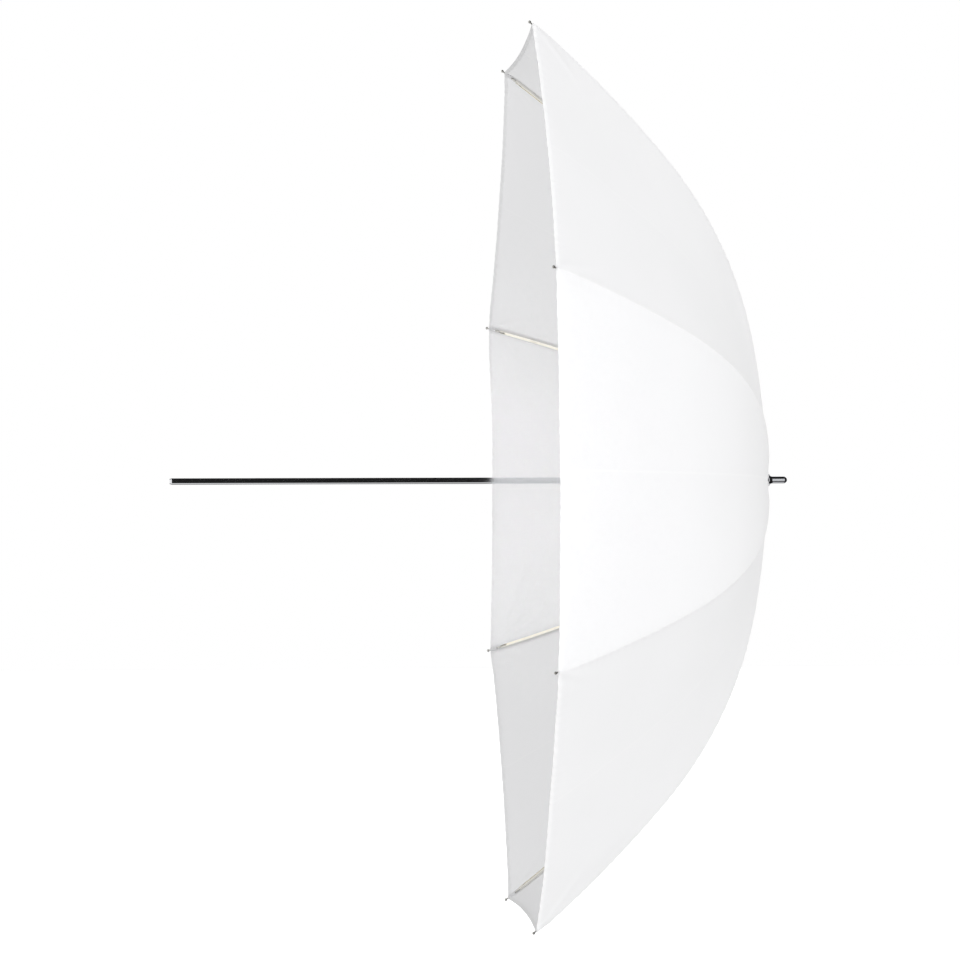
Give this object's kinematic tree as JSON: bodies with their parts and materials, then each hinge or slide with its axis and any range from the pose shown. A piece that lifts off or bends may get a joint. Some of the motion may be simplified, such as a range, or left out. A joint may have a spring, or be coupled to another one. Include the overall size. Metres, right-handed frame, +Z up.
{
  "type": "umbrella reflector",
  "caption": "White translucent cloth studio umbrella on a slim steel shaft, with folding sprung ribs, stretchers and a sliding runner",
  "frame": {"origin": "centre of the shaft's free end, which goes into the lamp's umbrella holder", "axes": "+X along the shaft from its free end to the finial, +Z up between two ribs"},
  "size_m": [0.6907, 0.9728, 0.9728],
  "materials": {
    "chrome_tube": "bright polished chrome plate",
    "chrome_cap": "bright polished chrome plate",
    "crown_nylon": "moulded black nylon",
    "spring_wire": "bright drawn wire",
    "rivet_steel": "plated steel pin",
    "washer_nylon": "thin white plastic disc",
    "plug_nylon": "moulded black nylon",
    "catch_steel": "bent spring steel",
    "chrome_sleeve": "polished plated sleeve",
    "nickel_channel": "nickel plated steel channel",
    "saddle_steel": "plated pressed steel",
    "cloth": "white translucent ripstop nylon",
    "tip_metal": "nickel plated turned tip"
  },
  "bodies": {
    "shaft": {"shaft": "chrome_tube", "finial": "chrome_cap", "crown": "crown_nylon", "crown_wire": "spring_wire", "crown_pin": "rivet_steel", "canopy_washer": "washer_nylon", "runner_stop": "rivet_steel", "catch_plug": "plug_nylon"},
    "catch": {"open_catch": "catch_steel"},
    "runner": {"runner": "chrome_sleeve", "runner_ring": "crown_nylon", "runner_wire": "spring_wire"},
    "rib_inner_1": {"rib_inner_1": "nickel_channel", "saddle_1": "saddle_steel", "canopy_panel_1": "cloth"},
    "rib_outer_1": {"rib_outer_1": "nickel_channel", "rib_tip_1": "tip_metal"},
    "stretcher_1": {"stretcher_1": "nickel_channel"},
    "rib_inner_2": {"rib_inner_2": "nickel_channel", "saddle_2": "saddle_steel", "canopy_panel_2": "cloth"},
    "rib_outer_2": {"rib_outer_2": "nickel_channel", "rib_tip_2": "tip_metal"},
    "stretcher_2": {"stretcher_2": "nickel_channel"},
    "rib_inner_3": {"rib_inner_3": "nickel_channel", "saddle_3": "saddle_steel", "canopy_panel_3": "cloth"},
    "rib_outer_3": {"rib_outer_3": "nickel_channel", "rib_tip_3": "tip_metal"},
    "stretcher_3": {"stretcher_3": "nickel_channel"},
    "rib_inner_4": {"rib_inner_4": "nickel_channel", "saddle_4": "saddle_steel", "canopy_panel_4": "cloth"},
    "rib_outer_4": {"rib_outer_4": "nickel_channel", "rib_tip_4": "tip_metal"},
    "stretcher_4": {"stretcher_4": "nickel_channel"},
    "rib_inner_5": {"rib_inner_5": "nickel_channel", "saddle_5": "saddle_steel", "canopy_panel_5": "cloth"},
    "rib_outer_5": {"rib_outer_5": "nickel_channel", "rib_tip_5": "tip_metal"},
    "stretcher_5": {"stretcher_5": "nickel_channel"},
    "rib_inner_6": {"rib_inner_6": "nickel_channel", "saddle_6": "saddle_steel", "canopy_panel_6": "cloth"},
    "rib_outer_6": {"rib_outer_6": "nickel_channel", "rib_tip_6": "tip_metal"},
    "stretcher_6": {"stretcher_6": "nickel_channel"},
    "rib_inner_7": {"rib_inner_7": "nickel_channel", "saddle_7": "saddle_steel", "canopy_panel_7": "cloth"},
    "rib_outer_7": {"rib_outer_7": "nickel_channel", "rib_tip_7": "tip_metal"},
    "stretcher_7": {"stretcher_7": "nickel_channel"},
    "rib_inner_8": {"rib_inner_8": "nickel_channel", "saddle_8": "saddle_steel", "canopy_panel_8": "cloth"},
    "rib_outer_8": {"rib_outer_8": "nickel_channel", "rib_tip_8": "tip_metal"},
    "stretcher_8": {"stretcher_8": "nickel_channel"}
  },
  "joints": [
    {"name": "runner_slide", "type": "slide", "parent": "shaft", "child": "runner", "axis": [-1, 0, 0], "range_m": [0, 0.3389], "deforming": ["open_catch"]},
    {"name": "catch_press", "type": "hinge", "parent": "shaft", "child": "catch", "pos_m": [0.43368, 0, 0.0015], "axis": [0, 1, 0], "range_deg": [0, 8], "stiffness_Nm_per_rad": 0.12},
    {"name": "rib_1_fold", "type": "hinge", "parent": "shaft", "child": "rib_inner_1", "pos_m": [0.663, -0.00249, 0.006], "axis": [0, -0.9239, -0.3827], "range_deg": [0, 77.2], "deforming": ["canopy_panel_1"]},
    {"name": "rib_1_spring", "type": "hinge", "parent": "rib_inner_1", "child": "rib_outer_1", "pos_m": [0.61044, -0.09759, 0.23559], "axis": [0, 0.9239, 0.3827], "range_deg": [0, 26.9]},
    {"name": "stretcher_1_swing", "type": "hinge", "parent": "rib_inner_1", "child": "stretcher_1", "pos_m": [0.60954, -0.09473, 0.22871], "axis": [0, 0.9239, 0.3827], "range_deg": [0, 139.5]},
    {"name": "rib_2_fold", "type": "hinge", "parent": "shaft", "child": "rib_inner_2", "pos_m": [0.663, -0.006, 0.00249], "axis": [0, -0.3827, -0.9239], "range_deg": [0, 77.2], "deforming": ["canopy_panel_2"]},
    {"name": "rib_2_spring", "type": "hinge", "parent": "rib_inner_2", "child": "rib_outer_2", "pos_m": [0.61044, -0.23559, 0.09759], "axis": [0, 0.3827, 0.9239], "range_deg": [0, 26.9]},
    {"name": "stretcher_2_swing", "type": "hinge", "parent": "rib_inner_2", "child": "stretcher_2", "pos_m": [0.60954, -0.22871, 0.09473], "axis": [0, 0.3827, 0.9239], "range_deg": [0, 139.5]},
    {"name": "rib_3_fold", "type": "hinge", "parent": "shaft", "child": "rib_inner_3", "pos_m": [0.663, -0.006, -0.00249], "axis": [0, 0.3827, -0.9239], "range_deg": [0, 77.2], "deforming": ["canopy_panel_3"]},
    {"name": "rib_3_spring", "type": "hinge", "parent": "rib_inner_3", "child": "rib_outer_3", "pos_m": [0.61044, -0.23559, -0.09759], "axis": [0, -0.3827, 0.9239], "range_deg": [0, 26.9]},
    {"name": "stretcher_3_swing", "type": "hinge", "parent": "rib_inner_3", "child": "stretcher_3", "pos_m": [0.60954, -0.22871, -0.09473], "axis": [0, -0.3827, 0.9239], "range_deg": [0, 139.5]},
    {"name": "rib_4_fold", "type": "hinge", "parent": "shaft", "child": "rib_inner_4", "pos_m": [0.663, -0.00249, -0.006], "axis": [0, 0.9239, -0.3827], "range_deg": [0, 77.2], "deforming": ["canopy_panel_4"]},
    {"name": "rib_4_spring", "type": "hinge", "parent": "rib_inner_4", "child": "rib_outer_4", "pos_m": [0.61044, -0.09759, -0.23559], "axis": [0, -0.9239, 0.3827], "range_deg": [0, 26.9]},
    {"name": "stretcher_4_swing", "type": "hinge", "parent": "rib_inner_4", "child": "stretcher_4", "pos_m": [0.60954, -0.09473, -0.22871], "axis": [0, -0.9239, 0.3827], "range_deg": [0, 139.5]},
    {"name": "rib_5_fold", "type": "hinge", "parent": "shaft", "child": "rib_inner_5", "pos_m": [0.663, 0.00249, -0.006], "axis": [0, 0.9239, 0.3827], "range_deg": [0, 77.2], "deforming": ["canopy_panel_5"]},
    {"name": "rib_5_spring", "type": "hinge", "parent": "rib_inner_5", "child": "rib_outer_5", "pos_m": [0.61044, 0.09759, -0.23559], "axis": [0, -0.9239, -0.3827], "range_deg": [0, 26.9]},
    {"name": "stretcher_5_swing", "type": "hinge", "parent": "rib_inner_5", "child": "stretcher_5", "pos_m": [0.60954, 0.09473, -0.22871], "axis": [0, -0.9239, -0.3827], "range_deg": [0, 139.5]},
    {"name": "rib_6_fold", "type": "hinge", "parent": "shaft", "child": "rib_inner_6", "pos_m": [0.663, 0.006, -0.00249], "axis": [0, 0.3827, 0.9239], "range_deg": [0, 77.2], "deforming": ["canopy_panel_6"]},
    {"name": "rib_6_spring", "type": "hinge", "parent": "rib_inner_6", "child": "rib_outer_6", "pos_m": [0.61044, 0.23559, -0.09759], "axis": [0, -0.3827, -0.9239], "range_deg": [0, 26.9]},
    {"name": "stretcher_6_swing", "type": "hinge", "parent": "rib_inner_6", "child": "stretcher_6", "pos_m": [0.60954, 0.22871, -0.09473], "axis": [0, -0.3827, -0.9239], "range_deg": [0, 139.5]},
    {"name": "rib_7_fold", "type": "hinge", "parent": "shaft", "child": "rib_inner_7", "pos_m": [0.663, 0.006, 0.00249], "axis": [0, -0.3827, 0.9239], "range_deg": [0, 77.2], "deforming": ["canopy_panel_7"]},
    {"name": "rib_7_spring", "type": "hinge", "parent": "rib_inner_7", "child": "rib_outer_7", "pos_m": [0.61044, 0.23559, 0.09759], "axis": [0, 0.3827, -0.9239], "range_deg": [0, 26.9]},
    {"name": "stretcher_7_swing", "type": "hinge", "parent": "rib_inner_7", "child": "stretcher_7", "pos_m": [0.60954, 0.22871, 0.09473], "axis": [0, 0.3827, -0.9239], "range_deg": [0, 139.5]},
    {"name": "rib_8_fold", "type": "hinge", "parent": "shaft", "child": "rib_inner_8", "pos_m": [0.663, 0.00249, 0.006], "axis": [0, -0.9239, 0.3827], "range_deg": [0, 77.2], "deforming": ["canopy_panel_8"]},
    {"name": "rib_8_spring", "type": "hinge", "parent": "rib_inner_8", "child": "rib_outer_8", "pos_m": [0.61044, 0.09759, 0.23559], "axis": [0, 0.9239, -0.3827], "range_deg": [0, 26.9]},
    {"name": "stretcher_8_swing", "type": "hinge", "parent": "rib_inner_8", "child": "stretcher_8", "pos_m": [0.60954, 0.09473, 0.22871], "axis": [0, 0.9239, -0.3827], "range_deg": [0, 139.5]}
  ],
  "couplings": [
    {"joint": "rib_1_fold", "follows": "runner_slide", "rad_per_m": 3.9611},
    {"joint": "rib_1_spring", "follows": "runner_slide", "rad_per_m": 1.3707},
    {"joint": "stretcher_1_swing", "follows": "runner_slide", "rad_per_m": 7.1703},
    {"joint": "rib_2_fold", "follows": "runner_slide", "rad_per_m": 3.9611},
    {"joint": "rib_2_spring", "follows": "runner_slide", "rad_per_m": 1.3707},
    {"joint": "stretcher_2_swing", "follows": "runner_slide", "rad_per_m": 7.1703},
    {"joint": "rib_3_fold", "follows": "runner_slide", "rad_per_m": 3.9611},
    {"joint": "rib_3_spring", "follows": "runner_slide", "rad_per_m": 1.3707},
    {"joint": "stretcher_3_swing", "follows": "runner_slide", "rad_per_m": 7.1703},
    {"joint": "rib_4_fold", "follows": "runner_slide", "rad_per_m": 3.9611},
    {"joint": "rib_4_spring", "follows": "runner_slide", "rad_per_m": 1.3707},
    {"joint": "stretcher_4_swing", "follows": "runner_slide", "rad_per_m": 7.1703},
    {"joint": "rib_5_fold", "follows": "runner_slide", "rad_per_m": 3.9611},
    {"joint": "rib_5_spring", "follows": "runner_slide", "rad_per_m": 1.3707},
    {"joint": "stretcher_5_swing", "follows": "runner_slide", "rad_per_m": 7.1703},
    {"joint": "rib_6_fold", "follows": "runner_slide", "rad_per_m": 3.9611},
    {"joint": "rib_6_spring", "follows": "runner_slide", "rad_per_m": 1.3707},
    {"joint": "stretcher_6_swing", "follows": "runner_slide", "rad_per_m": 7.1703},
    {"joint": "rib_7_fold", "follows": "runner_slide", "rad_per_m": 3.9611},
    {"joint": "rib_7_spring", "follows": "runner_slide", "rad_per_m": 1.3707},
    {"joint": "stretcher_7_swing", "follows": "runner_slide", "rad_per_m": 7.1703},
    {"joint": "rib_8_fold", "follows": "runner_slide", "rad_per_m": 3.9611},
    {"joint": "rib_8_spring", "follows": "runner_slide", "rad_per_m": 1.3707},
    {"joint": "stretcher_8_swing", "follows": "runner_slide", "rad_per_m": 7.1703}
  ]
}
